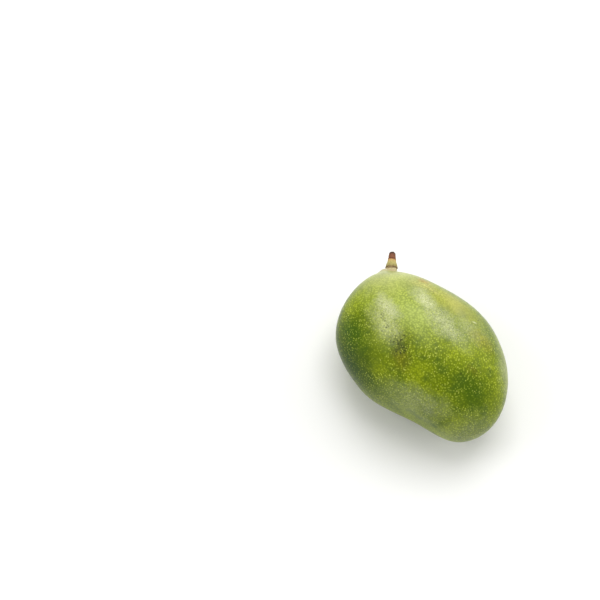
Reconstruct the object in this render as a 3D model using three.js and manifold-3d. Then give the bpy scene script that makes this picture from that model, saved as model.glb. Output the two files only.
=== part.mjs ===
// A whole green mango lying on its lower cheek, with the stub of its stalk.
// Millimetres, +Z up. The fruit's long axis runs along X with the stalk at +X,
// its broad faces (the cheeks) look up and down, its belly and beak are on the +Y side.

import * as THREE from 'three';
import { mergeVertices } from 'three/addons/utils/BufferGeometryUtils.js';
import Module from 'manifold-3d';

const wasm = await Module();
wasm.setup();

// Half sizes of the egg that the fruit starts from
const HALF_LENGTH = 54.3;
const HALF_BREADTH = 39.5;
const HALF_THICKNESS = 33.5;

// The fruit is thicker at the stalk end and along its back
const TAPER_TO_TIP = 0.06;
const TAPER_TO_BELLY = 0.03;

// Places where the skin swells out of the egg or sinks into it: the angle in the broad
// plane seen from the middle, how far the skin moves, and how far around it is felt
const SWELLINGS = [
  { place: 'belly', angle: 46, out: 4.5, reach: 44 },
  { place: 'hollow above the beak', angle: 129, out: -7.2, reach: 34 },
  { place: 'back', angle: -46, out: -5.1, reach: 50 },
  { place: 'dip behind the stalk', angle: -27, out: -2.2, reach: 14 },
];

// Height of the slow unevenness of the skin, so that no cheek is a perfect curve
const UNEVENNESS = 0.35;

// Seat of the stalk: a low round collar of skin, a little to the back of the top end,
// higher on its belly side
const SEAT_ANGLE = -18;
const SEAT_RADIUS = 3.5;
const COLLAR_HEIGHT = 1.3;
const COLLAR_SLOPE = 0.28;
const COLLAR_SPREAD = 9.5;

// The stalk stub, from the dry scar round its flared foot, past the ring where its
// upper joint broke off, to the dead end of the twig
const STALK_LEAN = -40.5;
const STALK_GAP = 0.35;
const SCAR_RADIUS = 3.6;
const SCAR_EDGE = 0.15;
const SCAR_THICKNESS = 0.5;
const FOOT_RADIUS = 3.3;
const FOOT_FLARE = 1.2;
const FOOT_SLOPE = 0.45;
const FOOT_DISH = 0.3;
const WAIST_RADIUS = 2.4;
const JOINT_HEIGHT = 7;
const JOINT_RADIUS = 2.5;
const JOINT_THICKNESS = 0.7;
const TWIG_RADIUS = 2.1;
const TIP_RADIUS = 1.85;
const TIP_ROUND = 0.8;
const TIP_DISH = 0.2;
const STALK_HEIGHT = 11.6;
const STALK_BEND = 0.7;

// The small level spot that the fruit lies on, this deep into its lower cheek
const PRESSED_DEPTH = 0.8;

// Rings of skin from the stalk to the tip, faces round each, and how much closer
// together the rings are at the stalk
const RINGS = 56;
const SEGMENTS = 80;
const CROWDING = 0.6;
const STALK_SEGMENTS = 28;
const FLARE_STEPS = 8;
const ROUND_STEPS = 4;

const rad = THREE.MathUtils.degToRad;

// 1 at the middle of a swelling, 0 where it ends, level at both
function fade(t) {
  const s = THREE.MathUtils.clamp(1 - t, 0, 1);
  return s * s * (3 - 2 * s);
}

// Direction on the unit sphere that the egg's stretch carries to this angle
function directionAt(angle) {
  const x = Math.cos(rad(angle)) / HALF_LENGTH;
  const y = Math.sin(rad(angle)) / HALF_BREADTH;
  return new THREE.Vector3(x, y, 0).normalize();
}

const eggSize = new THREE.Vector3(HALF_LENGTH, HALF_BREADTH, HALF_THICKNESS);
const stalkAxis = new THREE.Vector3(Math.cos(rad(STALK_LEAN)), Math.sin(rad(STALK_LEAN)), 0);
const toBelly = new THREE.Vector3(-stalkAxis.y, stalkAxis.x, 0);

const swellings = SWELLINGS.map(({ angle, out, reach }) => {
  const direction = directionAt(angle);
  const centre = direction.clone().multiply(eggSize);
  const push = direction.clone().divide(eggSize).normalize().multiplyScalar(out);
  return { centre, push, reach };
});

// The bare skin without the collar, for a direction on the unit sphere
function skinPoint(direction) {
  const egg = direction.clone().multiply(eggSize);
  const point = egg.clone();
  for (const { centre, push, reach } of swellings) {
    point.addScaledVector(push, fade(egg.distanceTo(centre) / reach));
  }
  point.z *= 1 + TAPER_TO_TIP * point.x / HALF_LENGTH - TAPER_TO_BELLY * point.y / HALF_BREADTH;
  const { x, y, z } = direction;
  const wave = Math.sin(5 * x + 2 * z) * Math.cos(4 * y - 1) + Math.sin(6 * z + 3 * y - 2 * x);
  return point.addScaledVector(direction, UNEVENNESS * wave);
}

const seat = skinPoint(directionAt(SEAT_ANGLE));

function skinWithCollar(direction) {
  const point = skinPoint(direction);
  const offset = point.clone().sub(seat);
  const outside = Math.max(0, offset.length() - SEAT_RADIUS);
  const height = COLLAR_HEIGHT + COLLAR_SLOPE * offset.dot(toBelly);
  return point.addScaledVector(stalkAxis, height * fade(outside / (COLLAR_SPREAD - SEAT_RADIUS)));
}

// A ball whose pole is at the stalk, with its rings closer together there
function ballRoundStalk() {
  const halfCircle = [];
  for (let i = 0; i <= RINGS; i += 1) {
    const t = i / RINGS;
    const turn = Math.PI * t * (1 - CROWDING + CROWDING * Math.sqrt(t));
    halfCircle.push(new THREE.Vector2(Math.sin(turn), -Math.cos(turn)));
  }
  halfCircle[0].x = 0;
  halfCircle[RINGS].x = 0;
  const ball = new THREE.LatheGeometry(halfCircle, SEGMENTS);
  const pole = directionAt(SEAT_ANGLE);
  ball.applyQuaternion(new THREE.Quaternion().setFromUnitVectors(new THREE.Vector3(0, -1, 0), pole));
  return ball;
}

function solidOf(geometry) {
  const bare = geometry.clone();
  bare.deleteAttribute('normal');
  bare.deleteAttribute('uv');
  const welded = mergeVertices(bare, 1e-4);
  return new wasm.Manifold(new wasm.Mesh({
    numProp: 3,
    vertProperties: new Float32Array(welded.attributes.position.array),
    triVerts: new Uint32Array(welded.index.array),
  }));
}

function geometryOf(solid) {
  const mesh = solid.getMesh();
  const geometry = new THREE.BufferGeometry();
  geometry.setAttribute('position', new THREE.BufferAttribute(mesh.vertProperties, 3));
  geometry.setIndex(new THREE.BufferAttribute(mesh.triVerts, 1));
  geometry.computeVertexNormals();
  return geometry;
}

function fruitGeometry() {
  const body = ballRoundStalk();
  const places = body.attributes.position;
  const direction = new THREE.Vector3();
  for (let i = 0; i < places.count; i += 1) {
    direction.fromBufferAttribute(places, i).normalize();
    const point = skinWithCollar(direction);
    places.setXYZ(i, point.x, point.y, point.z);
  }
  body.computeBoundingBox();
  const ground = body.boundingBox.min.z + PRESSED_DEPTH;
  const under = new THREE.BoxGeometry(4 * HALF_LENGTH, 4 * HALF_LENGTH, HALF_LENGTH);
  under.translate(0, 0, ground - HALF_LENGTH / 2);
  return { geometry: geometryOf(solidOf(body).subtract(solidOf(under))), ground };
}

// Outline of the stub on its own axis, the rim of its hollow foot at height 0
function stalkOutline() {
  const outline = [];
  const to = (radius, height) => outline.push(new THREE.Vector2(radius, height));
  to(0, FOOT_DISH);
  to(SCAR_RADIUS - SCAR_EDGE, 0);
  to(SCAR_RADIUS, SCAR_THICKNESS / 2);
  to(SCAR_RADIUS - SCAR_EDGE, SCAR_THICKNESS);
  const jointFoot = JOINT_HEIGHT - JOINT_THICKNESS / 2;
  for (let i = 0; i <= FLARE_STEPS; i += 1) {
    const t = i / FLARE_STEPS;
    const flare = (FOOT_RADIUS - WAIST_RADIUS) * (1 - t) ** FOOT_FLARE;
    to(WAIST_RADIUS + flare, THREE.MathUtils.lerp(SCAR_THICKNESS + SCAR_EDGE, jointFoot, t));
  }
  to(JOINT_RADIUS, JOINT_HEIGHT - JOINT_THICKNESS / 4);
  to(JOINT_RADIUS, JOINT_HEIGHT + JOINT_THICKNESS / 4);
  to(TWIG_RADIUS, JOINT_HEIGHT + JOINT_THICKNESS / 2);
  for (let i = 0; i <= ROUND_STEPS; i += 1) {
    const turn = rad(90 * i / ROUND_STEPS);
    const inward = TIP_ROUND * (1 - Math.cos(turn));
    const down = TIP_ROUND * (1 - Math.sin(turn));
    to(TIP_RADIUS - inward, STALK_HEIGHT - down);
  }
  to(0, STALK_HEIGHT - TIP_DISH);
  return outline;
}

// The stub is not quite round, its foot slants with the collar and its end bends over
function stalkGeometry() {
  const stub = new THREE.LatheGeometry(stalkOutline(), STALK_SEGMENTS);
  const places = stub.attributes.position;
  for (let i = 0; i < places.count; i += 1) {
    const x = places.getX(i);
    const y = places.getY(i);
    const z = places.getZ(i);
    const round = Math.atan2(z, x);
    const swell = 1 + 0.03 * Math.cos(2 * round + 0.7) + 0.02 * Math.cos(3 * round);
    const slant = -FOOT_SLOPE * x * Math.max(0, 1 - y / JOINT_HEIGHT);
    const bend = STALK_BEND * (y / STALK_HEIGHT) ** 2;
    places.setXYZ(i, x * swell, y + slant, z * swell + bend);
  }
  return stub;
}

function material(color, roughness) {
  return new THREE.MeshStandardMaterial({ color, roughness, metalness: 0 });
}

const { geometry: fruitShape, ground } = fruitGeometry();
const fruit = new THREE.Mesh(fruitShape, material('#8ba03a', 0.45));
fruit.name = 'fruit';

const stalk = new THREE.Mesh(stalkGeometry(), material('#8a6a35', 0.8));
stalk.name = 'stalk';
stalk.position.copy(seat).addScaledVector(stalkAxis, COLLAR_HEIGHT + STALK_GAP - FOOT_DISH);
stalk.quaternion.setFromUnitVectors(new THREE.Vector3(0, 1, 0), stalkAxis);

// The mango stands on z = 0 with its origin under the middle of its box
const mango = new THREE.Group();
mango.add(fruit, stalk);
const box = new THREE.Box3().setFromObject(mango, true);
const middle = box.getCenter(new THREE.Vector3());
mango.position.set(-middle.x, -middle.y, -ground);
mango.updateMatrixWorld(true);

export default mango;
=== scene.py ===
# A whole green mango lying on its cheek, with the stub of its stalk. Metres, +Z up: the
# stalk end points along +X, the belly and the beak are on the +Y side.
import math

import bpy
from mathutils import Matrix, Vector


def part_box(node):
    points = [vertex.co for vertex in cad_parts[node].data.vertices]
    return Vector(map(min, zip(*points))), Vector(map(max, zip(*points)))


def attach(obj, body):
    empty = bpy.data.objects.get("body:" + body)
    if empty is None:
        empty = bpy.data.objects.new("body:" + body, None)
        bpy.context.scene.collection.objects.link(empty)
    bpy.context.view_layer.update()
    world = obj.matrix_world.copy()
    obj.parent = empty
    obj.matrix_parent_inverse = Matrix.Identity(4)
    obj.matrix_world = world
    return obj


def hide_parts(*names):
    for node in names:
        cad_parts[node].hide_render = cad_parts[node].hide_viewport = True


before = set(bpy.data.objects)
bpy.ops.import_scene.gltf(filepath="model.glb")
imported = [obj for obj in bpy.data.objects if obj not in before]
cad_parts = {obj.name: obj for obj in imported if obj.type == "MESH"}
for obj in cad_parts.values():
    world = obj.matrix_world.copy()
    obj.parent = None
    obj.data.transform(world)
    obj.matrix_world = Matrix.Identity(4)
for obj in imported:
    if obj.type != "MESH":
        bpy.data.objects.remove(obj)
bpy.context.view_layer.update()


# The fruit: one grown piece, flesh under a thin waxy skin. Its form is that of the solid,
# smoothed, with the faint lumps of soft flesh, the fine peel of its skin, and a short wrinkled
# neck where the skin is drawn up round the foot of the stalk.

MM = 0.001

# Where the stalk meets the skin, and the way it points
SEAT = Vector((47.05, -15.35, 32.65)) * MM
STALK_LEAN = math.radians(-40.5)
STALK_AXIS = Vector((math.cos(STALK_LEAN), math.sin(STALK_LEAN), 0))

NECK_RADIUS = 3.5 * MM
NECK_HEIGHT = 2.2 * MM
NECK_STEPS = 5
NECK_TAPER = 0.985
# How far out its folds reach, in neck radii
FOLDS_REACH = 2.4
# Below about this height the skin is pressed smooth by what it lies on
LYING_SPOT_HEIGHT = 2.5 * MM
# How wide and how high the lumps are in millimetres, and where they are
FRUIT_RELIEFS = (
    ("broad_lumps", 14, 0.22, "free_skin"),
    ("peel", 2.2, 0.035, "free_skin"),
    ("neck_folds", 1.1, 0.5, "neck"),
)


def pick_only(piece):
    """Nothing else selected, and this piece active."""
    bpy.ops.object.select_all(action="DESELECT")
    piece.select_set(True)
    bpy.context.view_layer.objects.active = piece


def copy_of(node, name):
    """A free copy of a solid, with its loose triangles joined and paired into quads."""
    piece = bpy.data.objects.new(name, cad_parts[node].data.copy())
    bpy.context.scene.collection.objects.link(piece)
    pick_only(piece)
    bpy.ops.object.mode_set(mode="EDIT")
    bpy.ops.mesh.select_all(action="SELECT")
    bpy.ops.mesh.remove_doubles(threshold=0.01 * MM)
    bpy.ops.mesh.tris_convert_to_quads(face_threshold=math.radians(40),
                                       shape_threshold=math.radians(60))
    bpy.ops.object.mode_set(mode="OBJECT")
    return piece


def finish_with(piece, kind, **settings):
    """Adds one modifier and applies it."""
    modifier = piece.modifiers.new(kind.lower(), kind)
    for name, value in settings.items():
        setattr(modifier, name, value)
    pick_only(piece)
    bpy.ops.object.modifier_apply(modifier=modifier.name)


def weigh(piece, name, weight_at):
    """A vertex group whose weight is worked out from each point's place."""
    group = piece.vertex_groups.new(name=name)
    for vertex in piece.data.vertices:
        group.add([vertex.index], min(1, max(0, weight_at(vertex.co))), "REPLACE")


def roughen(piece, reliefs):
    """Adds one cloudy relief after the other. Each sinks more than it rises, so that the
    piece stays inside the box of its solid."""
    for name, width, height, group in reliefs:
        clouds = bpy.data.textures.new(name, "CLOUDS")
        clouds.noise_scale = width * MM
        clouds.noise_depth = 2
        finish_with(piece, "DISPLACE", texture=clouds, texture_coords="LOCAL",
                    strength=height * MM, mid_level=0.6, vertex_group=group)


def off_axis(point):
    """How far a point of the skin is from the line of the stalk. It is never less than a
    third of the way to the seat, since that line comes out again at the fruit's other end."""
    offset = point - SEAT
    aside = offset - offset.dot(STALK_AXIS) * STALK_AXIS
    return max(aside.length, offset.length / 3)


def draw_up_neck(piece):
    """Extrudes the skin under the stalk in steps, each nearer to one level ring. A resize
    works along the world's axes, so the stalk points along X meanwhile."""
    pick_only(piece)
    bpy.ops.object.mode_set(mode="EDIT")
    bpy.ops.mesh.select_all(action="DESELECT")
    bpy.ops.object.mode_set(mode="OBJECT")
    for vertex in piece.data.vertices:
        vertex.select = off_axis(vertex.co) < NECK_RADIUS
    piece.rotation_euler.z = -STALK_LEAN
    bpy.context.view_layer.update()
    top = piece.matrix_world @ (SEAT + NECK_HEIGHT * STALK_AXIS)
    bpy.ops.object.mode_set(mode="EDIT")
    for left in range(NECK_STEPS, 0, -1):
        bpy.ops.mesh.extrude_region_move(TRANSFORM_OT_translate={"value": (0, 0, 0)})
        bpy.ops.transform.resize(value=((left - 1) / left, NECK_TAPER, NECK_TAPER),
                                 center_override=top)
    bpy.ops.object.mode_set(mode="OBJECT")
    piece.rotation_euler.z = 0


fruit = copy_of("fruit", "mango_fruit")
finish_with(fruit, "SUBSURF", levels=2, render_levels=2)
draw_up_neck(fruit)
weigh(fruit, "free_skin", lambda point: point.z / LYING_SPOT_HEIGHT - 0.5)
weigh(fruit, "neck", lambda point: (FOLDS_REACH * NECK_RADIUS - off_axis(point)) / NECK_RADIUS)
roughen(fruit, FRUIT_RELIEFS)
bpy.ops.object.shade_smooth()
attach(fruit, "root")
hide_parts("fruit")


def linear(code):
    """An sRGB hex colour as linear light."""
    parts = [int(code[i:i + 2], 16) / 255 for i in (1, 3, 5)]
    return [c / 12.92 if c <= 0.04045 else ((c + 0.055) / 1.055) ** 2.4 for c in parts] + [1]


def add(tree, kind, inputs, output=0, **settings):
    """Adds a node with its settings. Each input is a value or the socket that feeds it."""
    node = tree.nodes.new("ShaderNode" + kind)
    for name, value in settings.items():
        setattr(node, name, value)
    for name, value in inputs.items():
        if isinstance(value, bpy.types.NodeSocket):
            tree.links.new(value, node.inputs[name])
        else:
            node.inputs[name].default_value = value
    return node.outputs[output]


def new_material(name):
    """A material with its shader and output only."""
    made = bpy.data.materials.new(name)
    made.use_nodes = True
    return made, made.node_tree, made.node_tree.nodes["Principled BSDF"]


def oval(tree, mm, middle, reach, turn):
    """A region of the skin: 1 in its middle, fading to 0 at its reach."""
    spot = add(tree, "VectorMath", {0: mm, 1: middle}, operation="SUBTRACT")
    spot = add(tree, "Mapping", {"Vector": spot, "Rotation": (0, 0, -math.radians(turn))})
    spot = add(tree, "VectorMath", {0: spot, 1: reach}, operation="DIVIDE")
    far = add(tree, "VectorMath", {0: spot}, output="Value", operation="LENGTH")
    return add(tree, "MapRange", {"Value": far, "From Min": 1, "From Max": 0},
               interpolation_type="SMOOTHSTEP")


def regions(tree, mm, table, start):
    """The strongest of several regions and of what is there already, at each place."""
    for middle, reach, turn, share in table:
        region = oval(tree, mm, middle, reach, turn)
        region = add(tree, "Math", {0: region, 1: share}, operation="MULTIPLY")
        start = add(tree, "Math", {0: start, 1: region}, operation="MAXIMUM")
    return start


def coat(tree, under, over, where, share=1):
    """One colour over another, by a region and a share of it."""
    amount = add(tree, "Math", {0: where, 1: share}, operation="MULTIPLY")
    colours = [linear(c) if isinstance(c, str) else c for c in (under, over)]
    # A mix has sockets for each kind of value: 6, 7 and 2 are those of its colours
    return add(tree, "Mix", {0: amount, 6: colours[0], 7: colours[1]}, output=2,
               data_type="RGBA")


def tinted(tree, mm, table, colour):
    """The regions of a table laid over a colour, one after the other."""
    for middle, reach, turn, over, share in table:
        colour = coat(tree, colour, over, oval(tree, mm, middle, reach, turn), share)
    return colour


# The regions of the skin: middle and reach in millimetres, turn in degrees, and strength.
# First those with a colour of their own
TINTS_AND_PAINTED_SHADE = (
    # The lower cheek and the belly flank are the deepest green, darkened in part with painted
    # shade along the underside, the belly flank and its shoulder
    ((0, 0, 8), (90, 70, 30), 0, "#435e00", 0.6),
    ((16, 36, 40), (40, 23, 32), 0, "#284500", 0.97),
    ((28, 26, 52), (18, 10, 22), -8, "#385c00", 0.75),
    # The shoulders round the stalk are pale, and yellower on the belly side
    ((37, 10, 50), (14, 12, 22), 30, "#8ea212", 0.8),
    ((42, -12, 48), (34, 32, 34), 0, "#c3c97e", 0.95),
    ((46, -12, 49), (10, 18, 12), 0, "#9fa465", 0.7),
    # The upper cheek is pale between the painted highlights, and yellow along the back, with
    # an orange rub and an olive yellow end
    ((16, -3, 62), (25, 13, 16), 0, "#afbe5e", 0.88),
    ((8, -25, 57), (24, 12, 20), 20, "#c6c26e", 0.7),
    ((24.3, -19, 58), (12, 6, 9), 30, "#d6cf80", 0.6),
    ((27.7, -21.4, 53.8), (6, 3, 6), 30, "#c58f38", 0.45),
    ((-18, -25, 57), (15, 7, 16), 20, "#989404", 0.7),
    # Its middle is mottled olive and light green, with a dark patch and brown beside it
    ((6, 12, 62), (15, 9, 14), -10, "#565c00", 0.5),
    ((0, 28, 54), (13, 9, 14), 0, "#8d9c14", 0.6),
    ((-10, -8, 65), (13, 8, 12), 0, "#9ba826", 0.3),
    ((4.5, 13.2, 63), (5.5, 3.4, 6), -20, "#424800", 0.65),
    ((-1, 18, 61), (9, 7, 12), 0, "#746400", 0.5),
    ((-29, -9, 60), (6, 2.5, 8), 20, "#8a7404", 0.5),
    # Towards the beak the green is deep, and fresh along the edges
    ((-37, -3, 56), (27, 19, 26), 0, "#395800", 0.88),
    ((-14, 29, 50), (24, 11, 20), 24, "#566f12", 0.5),
    ((-49, 14, 38), (12, 12, 18), 0, "#566f12", 0.5),
    ((-26, -31, 48), (24, 11, 20), -20, "#5a7214", 0.55),
)
# The greyish bloom lies in two broad streaks from the shoulders, which are painted highlights
# as much as bloom, and thinner along the edges, where at the right rim it is partly a painted
# sheen
BLOOM_AND_PAINTED_HIGHLIGHTS = (
    ((26, 5.5, 61), (17, 7.5, 13), -4, 1.18),
    ((21, 10.5, 60.5), (20, 11, 16), -6, 0.8),
    ((16, -13, 62.5), (17, 7, 12), 2, 1.18),
    ((0, -13.3, 64), (26, 10.7, 16), 8, 0.85),
    ((-8, -22, 60), (18, 11, 18), 8, 0.5),
    ((-14, -29, 55), (16, 9, 16), 0, 0.3),
    ((-24, 22, 53), (32, 9.5, 24), 28, 0.44),
    ((-38, -29, 42), (32, 10, 32), -24, 0.6),
    ((-50, 9, 38), (16, 24, 22), 0, 0.4),
)
# Where the pores fade
FADED_PORES = (
    ((42, -14, 50), (38, 40, 40), 0, 0.55),
    ((4, -25, 57), (28, 14, 22), 15, 0.65),
    ((17, -3, 62), (22, 12, 16), 0, 0.3),
    ((14, 24, 56), (18, 11, 18), -10, 0.4),
    ((24, 34, 42), (34, 14, 26), 0, 0.15),
    ((-38, -2, 57), (14, 12, 16), 0, 0.2),
)
# Where dark specks crowd together
SPECKS = (
    ((4.5, 13, 63), (13, 7, 14), -14, 1.1),
    ((21, 12, 60), (12, 6, 12), -20, 0.45),
    ((28, 6, 60), (10, 5, 10), -10, 0.3),
)
# A pale scratch, and the dry scar that the flower left under the beak
MARKS = (
    ((-7.8, -27.9, 57.2), (2, 0.7, 4), 34, "#c9cf9a", 1),
    ((-51.5, 12, 23.8), (5, 4.5, 3.8), 20, "#a39d52", 0.7),
    ((-51.5, 12, 23.8), (2, 1.6, 1.4), 20, "#43340f", 1),
)

# Widths and distances in the skin, in millimetres. The pores lie about as far apart as the
# photo shows them
PORE_SPACING = 1.12
LARGE_PORE_SPACING = 2.3
SPECK_SPACING = 1.4
SAP_SPACING = 8
# The real grain of wax and cork is too fine to show, so it is drawn this coarse
WAX_GRAIN = 0.7
CORK_GRAIN = 0.9
# Slow changes: of the ground, of its blotches, of how clear the pores are
GROUND_WIDTH = 22
BLOTCH_WIDTH = 7
CLEAR_WIDTH = 9
# The edge of each region wanders by up to half of the drift
DRIFT_WIDTH = 6
DRIFT = 9
# The middle of the bare cork round the foot of the stalk, and how ragged its edge is
CORK_MIDDLE = SEAT / MM + Vector((0, 0, 1.5))
CORK_EDGE_WIDTH = 2.5
CORK_EDGE_DRIFT = 9


def green_ground(tree, mm, drift, blotch):
    """Olive green that changes slowly, deeper in blotches, and tinted by region, where the
    darker underside and belly flank are partly painted shade.
    """
    slow = add(tree, "TexNoise", {"Vector": mm, "Scale": 1 / GROUND_WIDTH, "Detail": 1})
    slow = add(tree, "MapRange", {"Value": slow, "From Min": 0.38, "From Max": 0.62})
    ground = coat(tree, "#728302", "#8f9e10", slow)
    deep = add(tree, "MapRange", {"Value": blotch, "From Min": 0.5, "From Max": 0.7})
    ground = coat(tree, ground, "#435e00", deep, 0.6)
    return tinted(tree, drift, TINTS_AND_PAINTED_SHADE, ground)


def bloom_and_painted_highlights(tree, drift, blotch, grain):
    """How thick the bloom of wax is: a trace all over, more by region, worn in its grain. The
    broad streaks on the upper cheek stand for painted highlights as well as bloom.
    """
    bloom_and_highlight = add(tree, "MapRange", {"Value": blotch, "From Min": 0.35, "From Max": 0.75,
                                   "To Max": 0.02})
    bloom_and_highlight = regions(tree, drift, BLOOM_AND_PAINTED_HIGHLIGHTS, bloom_and_highlight)
    worn = add(tree, "MapRange", {"Value": grain, "From Min": 0.4, "From Max": 0.56,
                                  "To Min": 0.4, "To Max": 1})
    return add(tree, "Math", {0: bloom_and_highlight, 1: worn}, operation="MULTIPLY")


def pale_pores(tree, mm, drift, colour):
    """Breathing pores of uneven paleness in a net of darker green, and a few larger ones.
    Gives the colour with them, and where the larger ones are."""
    clear = add(tree, "TexNoise", {"Vector": mm, "Scale": 1 / CLEAR_WIDTH, "Detail": 3,
                                   "Roughness": 0.75})
    clear = add(tree, "MapRange", {"Value": clear, "From Min": 0.34, "From Max": 0.62,
                                   "To Min": 0.2})
    faded = regions(tree, drift, FADED_PORES, 0)
    clear = add(tree, "Math", {0: clear, 1: faded}, operation="SUBTRACT", use_clamp=True)

    cells = add(tree, "TexVoronoi", {"Vector": mm, "Scale": 1 / PORE_SPACING,
                                     "Randomness": 0.9})
    net = add(tree, "MapRange", {"Value": cells, "From Min": 0.35, "From Max": 0.65})
    left = add(tree, "Math", {0: 1, 1: faded}, operation="SUBTRACT")
    net = add(tree, "Math", {0: net, 1: left}, operation="MULTIPLY")
    colour = coat(tree, colour, "#2f4600", net, 0.4)

    chance = add(tree, "SeparateColor", {"Color": cells.node.outputs["Color"]})
    chance = add(tree, "MapRange", {"Value": chance, "To Min": 0.35})
    pore = add(tree, "MapRange", {"Value": cells, "From Min": 0.36, "From Max": 0.12})
    pore = add(tree, "Math", {0: pore, 1: clear}, operation="MULTIPLY")
    pore = add(tree, "Math", {0: pore, 1: chance}, operation="MULTIPLY")
    colour = coat(tree, colour, "#ccd65a", pore, 0.92)

    cells = add(tree, "TexVoronoi", {"Vector": mm, "Scale": 1 / LARGE_PORE_SPACING,
                                     "Randomness": 0.8})
    large = add(tree, "MapRange", {"Value": cells, "From Min": 0.19, "From Max": 0.08})
    large = add(tree, "Math", {0: large, 1: clear}, operation="MULTIPLY")
    return coat(tree, colour, "#d2d86a", large, 0.7), large


def dark_marks(tree, mm, drift, grain, colour):
    """Specks in crowds, a few spots of dried sap, and the marks that lie alone."""
    crowd = regions(tree, drift, SPECKS, 0)
    broken = add(tree, "MapRange", {"Value": grain, "From Min": 0.4, "From Max": 0.55})
    crowd = add(tree, "Math", {0: crowd, 1: broken}, operation="MULTIPLY")
    crowd = add(tree, "MapRange", {"Value": crowd, "From Min": 0.05, "From Max": 0.35})
    cells = add(tree, "TexVoronoi", {"Vector": mm, "Scale": 1 / SPECK_SPACING})
    speck = add(tree, "MapRange", {"Value": cells, "From Min": 0.48, "From Max": 0.22})
    speck = add(tree, "Math", {0: speck, 1: crowd}, operation="MULTIPLY")
    colour = coat(tree, colour, "#262c00", speck, 0.8)

    cells = add(tree, "TexVoronoi", {"Vector": mm, "Scale": 1 / SAP_SPACING})
    sap = add(tree, "MapRange", {"Value": cells, "From Min": 0.07, "From Max": 0.035})
    colour = coat(tree, colour, "#33320c", sap, 0.6)
    return tinted(tree, mm, MARKS, colour)


def corky_neck(tree, mm, colour):
    """Cream cork with rusty grains round the foot of the stalk, its edge ragged."""
    offset = add(tree, "VectorMath", {0: mm, 1: CORK_MIDDLE}, operation="SUBTRACT")
    aside = add(tree, "VectorMath", {0: offset, 1: STALK_AXIS}, operation="CROSS_PRODUCT")
    aside = add(tree, "VectorMath", {0: aside}, output="Value", operation="LENGTH")
    ragged = add(tree, "TexNoise", {"Vector": mm, "Scale": 1 / CORK_EDGE_WIDTH, "Detail": 4,
                                    "Roughness": 0.7})
    ragged = add(tree, "Math", {0: ragged, 1: CORK_EDGE_DRIFT, 2: aside},
                 operation="MULTIPLY_ADD")
    # Full to about 5 mm from the line of the stalk and gone by 8, and only near the seat
    cork = add(tree, "MapRange", {"Value": ragged, "From Min": 12.4, "From Max": 9.4})
    near = add(tree, "VectorMath", {0: offset}, output="Value", operation="LENGTH")
    near = add(tree, "MapRange", {"Value": near, "From Min": 12, "From Max": 10})
    cork = add(tree, "Math", {0: cork, 1: near}, operation="MULTIPLY")
    colour = coat(tree, colour, "#c4b48f", cork, 0.85)

    rust = add(tree, "TexNoise", {"Vector": mm, "Scale": 1 / CORK_GRAIN, "Detail": 2,
                                  "Roughness": 0.6})
    rust = add(tree, "MapRange", {"Value": rust, "From Min": 0.52, "From Max": 0.66})
    rust = add(tree, "Math", {0: rust, 1: cork}, operation="MULTIPLY")
    return coat(tree, colour, "#7a5634", rust, 0.55)


def waxy_green_skin():
    """Unripe mango peel, a cuticle of wax over green tissue: satin gloss, pale breathing
    pores with darker rings, a greyish bloom that handling has rubbed off the middle. Its pale
    streaks on the upper cheek are painted highlights, and its underside and belly flank carry
    painted shade."""
    made, tree, shader = new_material("waxy_green_peel")
    place = add(tree, "TexCoord", {}, output="Object")
    mm = add(tree, "Mapping", {"Vector": place, "Scale": (1 / MM,) * 3})
    drift = add(tree, "TexNoise", {"Vector": mm, "Scale": 1 / DRIFT_WIDTH, "Detail": 4},
                output="Color")
    drift = add(tree, "VectorMath", {0: drift, 1: (0.5,) * 3}, operation="SUBTRACT")
    drift = add(tree, "VectorMath", {0: drift, 1: (DRIFT,) * 3, 2: mm},
                operation="MULTIPLY_ADD")
    blotch = add(tree, "TexNoise", {"Vector": mm, "Scale": 1 / BLOTCH_WIDTH, "Detail": 3})
    grain = add(tree, "TexNoise", {"Vector": mm, "Scale": 1 / WAX_GRAIN, "Detail": 3,
                                   "Roughness": 0.7})

    colour = green_ground(tree, mm, drift, blotch)
    colour, large_pores = pale_pores(tree, mm, drift, colour)
    bloom_and_highlight = bloom_and_painted_highlights(tree, drift, blotch, grain)
    # The pale colour of the bloom, which also paints the highlights on the upper cheek
    colour = coat(tree, colour, "#cfd2a5", bloom_and_highlight, 0.75)
    colour = dark_marks(tree, mm, drift, grain, colour)
    colour = corky_neck(tree, mm, colour)
    tree.links.new(colour, shader.inputs["Base Color"])

    satin = add(tree, "MapRange", {"Value": bloom_and_highlight, "To Min": 0.3, "To Max": 0.42})
    tree.links.new(satin, shader.inputs["Roughness"])
    relief = add(tree, "Math", {0: grain, 1: large_pores}, operation="ADD")
    bump = add(tree, "Bump", {"Height": relief, "Strength": 0.5, "Distance": 0.06 * MM})
    tree.links.new(bump, shader.inputs["Normal"])
    shader.inputs["IOR"].default_value = 1.42
    shader.inputs["Specular IOR Level"].default_value = 0.2
    return made


fruit.data.materials.clear()
fruit.data.materials.append(waxy_green_skin())

# The stub of the stalk: woody, snapped off above its upper joint. Its living foot is still
# yellow-green and flares onto a dry scar on the neck; the dead end is brown and cracked.

# Sizes in millimetres, and heights above the seat
STUB_SIDES = 48
STUB_HEIGHT = 11.7
STUB_BEND = 0.7
DEAD_FROM = 8
SCAR_HEIGHT = 2.25
SCAR_REACH = 0.5
# Each ring's height and radius
STUB_RINGS = (
    (0.4, 3.1),
    (1.9, 3.3),
    (2.1, 3.6),
    (2.35, 3.65),
    (2.6, 3.45),
    (3.5, 3.3),
    (4.7, 2.9),
    (6.0, 2.5),
    (7.0, 2.3),
    (7.25, 2.42),
    (7.5, 2.38),
    (7.75, 2.15),
    (8.8, 2.12),
    (10.0, 2.0),
    (10.8, 1.75),
    (11.4, 1.35),
    (11.7, 0.95),
)
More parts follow.
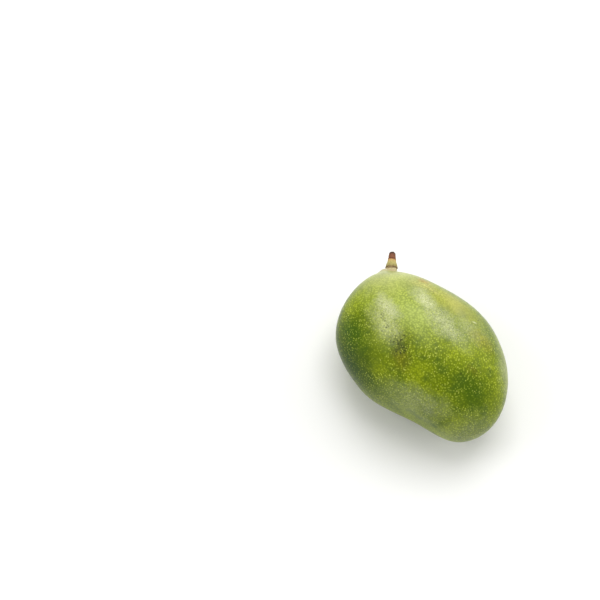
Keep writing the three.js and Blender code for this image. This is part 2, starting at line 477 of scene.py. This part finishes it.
# How far inwards and along the stalk each step of its sunken end goes
END_STEPS = ((0.25, -0.1), (0.3, -0.25))
# How wide and how high the lumps are, and where they are
STALK_RELIEFS = (
    ("stub_knots", 2.5, 0.3, ""),
    ("stub_bark", 0.5, 0.14, ""),
    ("cracks", 0.9, 0.5, "dead_end"),
    ("frayed_scar", 0.7, 0.9, "scar"),
)
# The stub is made upright at the origin, its end bent to -Y, then laid on the seat, where
# that is up
BACKWARD = Vector((STALK_AXIS.y, -STALK_AXIS.x, 0))
STUB_PLACE = Matrix.Translation(SEAT) @ Matrix(
    (BACKWARD, STALK_AXIS.cross(BACKWARD), STALK_AXIS)).transposed().to_4x4()


def ring_middle(height):
    """Where the bent axis of the stub is at this height."""
    return Vector((0, -STUB_BEND * (height / STUB_HEIGHT) ** 2, height)) * MM


def stalk_stub():
    """Rings of the stub, extruded one from the next, with a sunken cracked end."""
    first_height, first_radius = STUB_RINGS[0]
    bpy.ops.object.select_all(action="DESELECT")
    bpy.ops.mesh.primitive_circle_add(vertices=STUB_SIDES, radius=first_radius * MM,
                                      fill_type="NGON", location=ring_middle(first_height))
    stub = bpy.context.object
    stub.name = stub.data.name = "mango_stalk"
    bpy.ops.object.transform_apply(location=True, rotation=True, scale=True)
    bpy.ops.object.mode_set(mode="EDIT")
    bpy.ops.mesh.select_all(action="SELECT")
    for (low, wide), (high, narrow) in zip(STUB_RINGS, STUB_RINGS[1:]):
        middle = ring_middle(high)
        bpy.ops.mesh.extrude_region_move(
            TRANSFORM_OT_translate={"value": middle - ring_middle(low)})
        bpy.ops.transform.resize(value=(narrow / wide,) * 3, center_override=middle)
    for inward, along in END_STEPS:
        bpy.ops.mesh.inset(thickness=inward * MM)
        bpy.ops.transform.translate(value=(0, 0, along * MM))
    bpy.ops.mesh.select_all(action="SELECT")
    bpy.ops.mesh.normals_make_consistent(inside=False)
    bpy.ops.object.mode_set(mode="OBJECT")
    return stub


stalk = stalk_stub()
finish_with(stalk, "SUBSURF", levels=2, render_levels=2)
weigh(stalk, "dead_end", lambda point: point.z / MM - DEAD_FROM)
weigh(stalk, "scar", lambda point: 1 - abs(point.z / MM - SCAR_HEIGHT) / SCAR_REACH)
roughen(stalk, STALK_RELIEFS)
stalk.matrix_world = STUB_PLACE
pick_only(stalk)
bpy.ops.object.transform_apply(location=True, rotation=True, scale=True)
bpy.ops.object.shade_smooth()
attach(stalk, "root")
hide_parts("stalk")


# The colours of the bark from the foot to the end, by height in millimetres
BARK_BANDS = (
    (1.9, "#a08c64"),
    (2.15, "#4a3519"),
    (2.4, "#8a7444"),
    (3.0, "#9a8c52"),
    (4.4, "#aaa05c"),
    (5.8, "#b9a662"),
    (6.8, "#c2985c"),
    (7.3, "#7a3c14"),
    (7.7, "#5a2c12"),
    (8.3, "#865030"),
    (9.6, "#78442a"),
    (10.6, "#4a2a18"),
    (11.4, "#2b1a10"),
)
# Fibres are four times as long as wide. Real ones are too fine to show, so these are coarser
FIBRE_STRETCH = (1.6, 1.6, 0.4)
FIBRES_PER_MM = 1.2
FLECKS_PER_MM = 1.1
# How far the fibres carry the edge of each band up or down
BAND_WAVER = 0.9


def dry_stalk_bark():
    """Green bark that dies back: straw and yellow-green at the foot, a dark ring where the
    next joint broke off, then reddish brown to a nearly black, rough end."""
    made, tree, shader = new_material("dry_stalk_bark")
    place = add(tree, "TexCoord", {}, output="Object")
    inside = STUB_PLACE.inverted()
    along = add(tree, "Mapping", {"Vector": place, "Scale": (1 / MM,) * 3,
                                  "Rotation": inside.to_euler(),
                                  "Location": inside.translation / MM})
    height = add(tree, "SeparateXYZ", {"Vector": along}, output="Z")
    fibres = add(tree, "Mapping", {"Vector": along, "Scale": FIBRE_STRETCH})
    ragged = add(tree, "TexNoise", {"Vector": fibres, "Scale": FIBRES_PER_MM, "Detail": 4,
                                    "Roughness": 0.65})
    waver = add(tree, "MapRange", {"Value": ragged, "To Min": -BAND_WAVER,
                                   "To Max": BAND_WAVER})
    wavy = add(tree, "Math", {0: height, 1: waver}, operation="ADD")
    share = add(tree, "Math", {0: wavy, 1: STUB_HEIGHT}, operation="DIVIDE")
    bands = add(tree, "ValToRGB", {"Fac": share})
    stops = bands.node.color_ramp.elements
    for at, code in BARK_BANDS:
        stops.new(at / STUB_HEIGHT).color = linear(code)
    # A new ramp has a stop of its own at each end
    stops.remove(stops[0])
    stops.remove(stops[-1])
    flecks = add(tree, "TexVoronoi", {"Vector": along, "Scale": FLECKS_PER_MM})
    fleck = add(tree, "MapRange", {"Value": flecks, "From Min": 0.42, "From Max": 0.2})
    fleck = add(tree, "Math", {0: fleck, 1: ragged}, operation="MULTIPLY")
    bark = coat(tree, bands, "#5f4418", fleck)
    tree.links.new(bark, shader.inputs["Base Color"])
    shader.inputs["Roughness"].default_value = 0.7
    bump = add(tree, "Bump", {"Height": ragged, "Strength": 0.6, "Distance": 0.15 * MM})
    tree.links.new(bump, shader.inputs["Normal"])
    return made


stalk.data.materials.append(dry_stalk_bark())

# The surface it lies on: a sheet of plain matt white paper, laid flat, wide enough to fill
# the picture.

FLOOR_SIZE = 6
bpy.ops.object.select_all(action="DESELECT")
bpy.ops.mesh.primitive_plane_add(size=FLOOR_SIZE)
floor = bpy.context.object
floor.name = "floor"
paper, _, sheet = new_material("matt_white_paper")
sheet.inputs["Base Color"].default_value = linear("#f7f7f5")
sheet.inputs["Roughness"].default_value = 0.9
floor.data.materials.append(paper)

# The camera: a long lens that looks down on the upper cheek, with the fruit right of and
# below the middle of the frame, its stalk at the top.

FRAME_PIXELS = 600
# Where the middle of the fruit is in the frame, and how much of it one pixel covers
FRUIT_PIXEL = (421.3, 352)
PIXEL_ON_FRUIT = 0.558 * MM
LENS = 85
SENSOR = 36
# From where the fruit is seen: round it from +X, and up from the floor
VIEW_TURN = math.radians(124.1)
VIEW_HEIGHT = math.radians(75)

middle = Vector((0, 0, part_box("fruit")[1][2] / 2))
focal = FRAME_PIXELS * LENS / SENSOR
to_camera = Vector((math.cos(VIEW_TURN) * math.cos(VIEW_HEIGHT),
                    math.sin(VIEW_TURN) * math.cos(VIEW_HEIGHT), math.sin(VIEW_HEIGHT)))
# The fruit is off the middle of the frame, so the camera is turned until the ray through its
# pixel, in the camera's own axes, points at it
ray = Vector((FRUIT_PIXEL[0] - FRAME_PIXELS / 2, FRAME_PIXELS / 2 - FRUIT_PIXEL[1], -focal))
ray.normalize()
reach = math.hypot(ray.y, ray.z)
ray_tilt = math.acos(math.sin(VIEW_HEIGHT) / reach)
tilt = ray_tilt - math.atan2(ray.y, -ray.z)
turn = VIEW_TURN + math.pi - math.atan2(reach * math.sin(ray_tilt), ray.x)

lens = bpy.data.cameras.new("camera")
lens.lens = LENS
lens.sensor_width = SENSOR
camera = bpy.data.objects.new("camera", lens)
bpy.context.scene.collection.objects.link(camera)
camera.location = middle + PIXEL_ON_FRUIT * focal * to_camera
camera.rotation_euler = (tilt, 0, turn)
bpy.context.scene.camera = camera

# The light of a white studio: even light from all round, a soft box on the left and a larger
# one beyond the stalk end that shade the cheek softly, and one set low that fills the right
# side.

axes = camera.rotation_euler.to_matrix()
image_right, image_up = axes.col[0], axes.col[1]


def soft_box(name, off_view, clock, distance, size, watts):
    """A square light that faces the fruit: off_view degrees from the line of sight, and
    clock degrees round the picture, anticlockwise from its right."""
    clock = math.radians(clock)
    off_view = math.radians(off_view)
    side = math.cos(clock) * image_right + math.sin(clock) * image_up
    side = (side - side.dot(to_camera) * to_camera).normalized()
    way = math.cos(off_view) * to_camera + math.sin(off_view) * side
    lamp = bpy.data.lights.new(name, "AREA")
    lamp.shape = "SQUARE"
    lamp.size = size
    lamp.energy = watts
    box = bpy.data.objects.new(name, lamp)
    bpy.context.scene.collection.objects.link(box)
    box.location = middle + distance * way
    box.rotation_euler = way.to_track_quat("Z", "Y").to_euler()


soft_box("left_soft_box", off_view=44, clock=160, distance=2, size=0.9, watts=8)
soft_box("top_soft_box", off_view=39, clock=80, distance=2, size=1.4, watts=26)
soft_box("right_fill", off_view=72, clock=30, distance=2.2, size=1.8, watts=15)

# A little brighter at the horizon than overhead, so that floor and wall meet without a line
HORIZON_GLOW = 0.56
CEILING_GLOW = 0.48
world = bpy.data.worlds.new("white_studio")
world.use_nodes = True
sky = world.node_tree.nodes["Background"]
aim = add(world.node_tree, "TexCoord", {}, output="Generated")
rise = add(world.node_tree, "SeparateXYZ", {"Vector": aim}, output="Z")
glow = add(world.node_tree, "MapRange", {"Value": rise, "From Max": 0.4,
                                         "To Min": HORIZON_GLOW, "To Max": CEILING_GLOW},
           interpolation_type="SMOOTHSTEP")
world.node_tree.links.new(glow, sky.inputs["Strength"])
sky.inputs["Color"].default_value = (1, 1, 1, 1)
bpy.context.scene.world = world
bpy.context.scene.view_settings.view_transform = "Standard"
